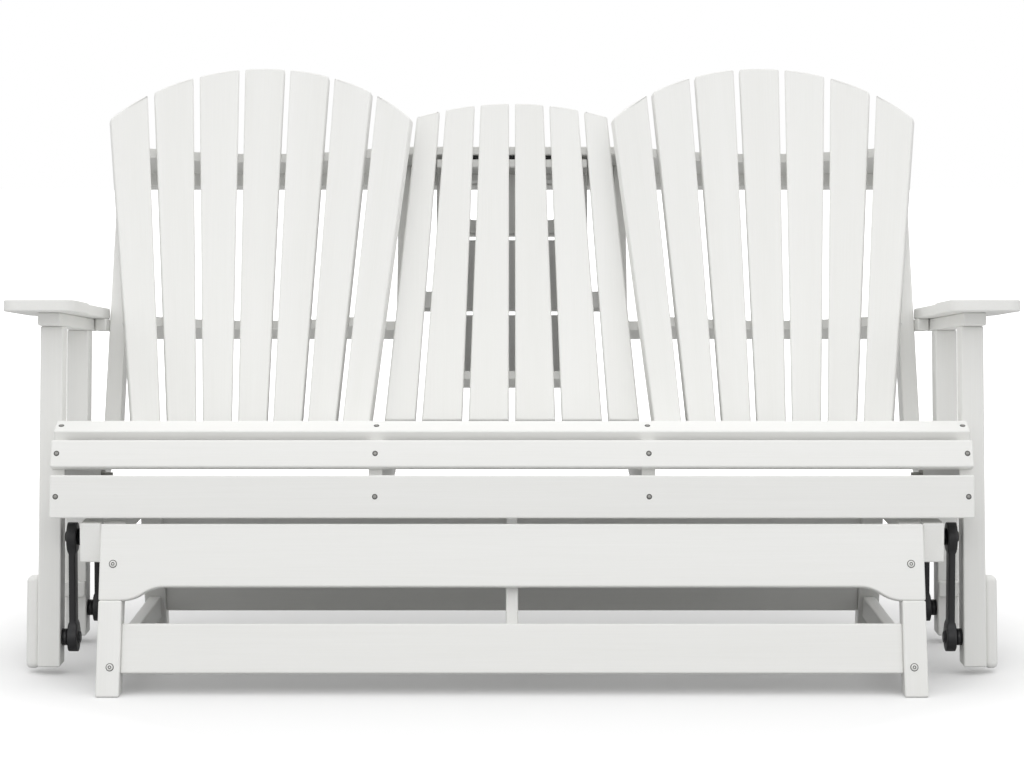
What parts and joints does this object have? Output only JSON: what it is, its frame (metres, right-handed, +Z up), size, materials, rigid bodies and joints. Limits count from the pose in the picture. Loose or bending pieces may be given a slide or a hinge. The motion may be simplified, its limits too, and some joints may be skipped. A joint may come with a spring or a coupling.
{
  "type": "glider loveseat",
  "caption": "Porch glider loveseat of white poly lumber: slatted seat hung on swing links in a raked base, fan backs, paddle arms and a fold-down centre console with cup holes.",
  "frame": {"origin": "on the floor, under the middle of the bounding box", "axes": "+X to the right of a viewer facing the front, +Y to the back, +Z up"},
  "size_m": [1.682, 0.8136, 1.0214],
  "materials": {
    "poly_lumber": "satin",
    "link_black": "satin black",
    "steel": "brushed",
    "bolt_black": "black oxide",
    "bracket_white": "satin white",
    "pad_rubber": "matt"
  },
  "bodies": {
    "base": {"centre_brace": "poly_lumber", "front_apron": "poly_lumber", "front_left_leg": "poly_lumber", "front_right_leg": "poly_lumber", "front_stretcher": "poly_lumber", "left_side_beam": "poly_lumber", "rear_apron": "poly_lumber", "rear_left_leg": "poly_lumber", "rear_right_leg": "poly_lumber", "rear_stretcher": "poly_lumber", "right_side_beam": "poly_lumber", "side_stretchers": "poly_lumber", "upper_pivot_bolts": "bolt_black"},
    "front_left_link": {"front_left_link": "link_black"},
    "front_right_link": {"front_right_link": "link_black"},
    "rear_left_link": {"rear_left_link": "link_black"},
    "rear_right_link": {"rear_right_link": "link_black"},
    "seat": {"arm_cleats": "poly_lumber", "console_brackets": "bracket_white", "crest_slat": "poly_lumber", "frame_bolts": "steel", "front_left_post": "poly_lumber", "front_right_post": "poly_lumber", "front_slat": "poly_lumber", "left_arm": "poly_lumber", "left_arm_beam": "poly_lumber", "left_arm_rail": "poly_lumber", "left_fan_slats": "poly_lumber", "left_inner_stringer": "poly_lumber", "left_inner_upright": "poly_lumber", "left_outer_stringer": "poly_lumber", "left_outer_upright": "poly_lumber", "left_top_rail": "poly_lumber", "low_rails": "poly_lumber", "lower_pivot_bolts": "bolt_black", "middle_rail": "poly_lumber", "nose_slat": "poly_lumber", "pan_slats": "poly_lumber", "pivot_covers": "poly_lumber", "rear_blocks": "poly_lumber", "rear_left_post": "poly_lumber", "rear_right_post": "poly_lumber", "right_arm": "poly_lumber", "right_arm_beam": "poly_lumber", "right_arm_rail": "poly_lumber", "right_fan_slats": "poly_lumber", "right_inner_stringer": "poly_lumber", "right_inner_upright": "poly_lumber", "right_outer_stringer": "poly_lumber", "right_outer_upright": "poly_lumber", "right_top_rail": "poly_lumber", "slat_screws": "steel", "stiffeners": "poly_lumber", "stop_pad": "pad_rubber"},
    "console": {"console_cleats": "poly_lumber", "console_slats": "poly_lumber", "console_stiles": "poly_lumber", "cup_table_board": "poly_lumber", "low_table_board": "poly_lumber", "middle_table_board": "poly_lumber"}
  },
  "joints": [
    {"name": "glide", "type": "hinge", "parent": "base", "child": "front_left_link", "pos_m": [-0.734, -0.21174, 0.229], "axis": [1, 0, 0], "range_deg": [-14, 14]},
    {"name": "seat_level", "type": "hinge", "parent": "front_left_link", "child": "seat", "pos_m": [-0.734, -0.21174, 0.06], "axis": [1, 0, 0], "range_deg": [-14.5, 14.5]},
    {"name": "front_right_swing", "type": "hinge", "parent": "base", "child": "front_right_link", "pos_m": [0.734, -0.21174, 0.229], "axis": [1, 0, 0], "range_deg": [-14.5, 14.5]},
    {"name": "rear_left_swing", "type": "hinge", "parent": "base", "child": "rear_left_link", "pos_m": [-0.734, 0.05426, 0.229], "axis": [1, 0, 0], "range_deg": [-14.5, 14.5]},
    {"name": "rear_right_swing", "type": "hinge", "parent": "base", "child": "rear_right_link", "pos_m": [0.734, 0.05426, 0.229], "axis": [1, 0, 0], "range_deg": [-14.5, 14.5]},
    {"name": "console_fold", "type": "hinge", "parent": "seat", "child": "console", "pos_m": [0, 0.12317, 0.41198], "axis": [1, 0, 0], "range_deg": [0, 105]}
  ],
  "couplings": [
    {"joint": "seat_level", "follows": "glide", "ratio": -1},
    {"joint": "front_right_swing", "follows": "glide", "ratio": 1},
    {"joint": "rear_left_swing", "follows": "glide", "ratio": 1},
    {"joint": "rear_right_swing", "follows": "glide", "ratio": 1}
  ]
}
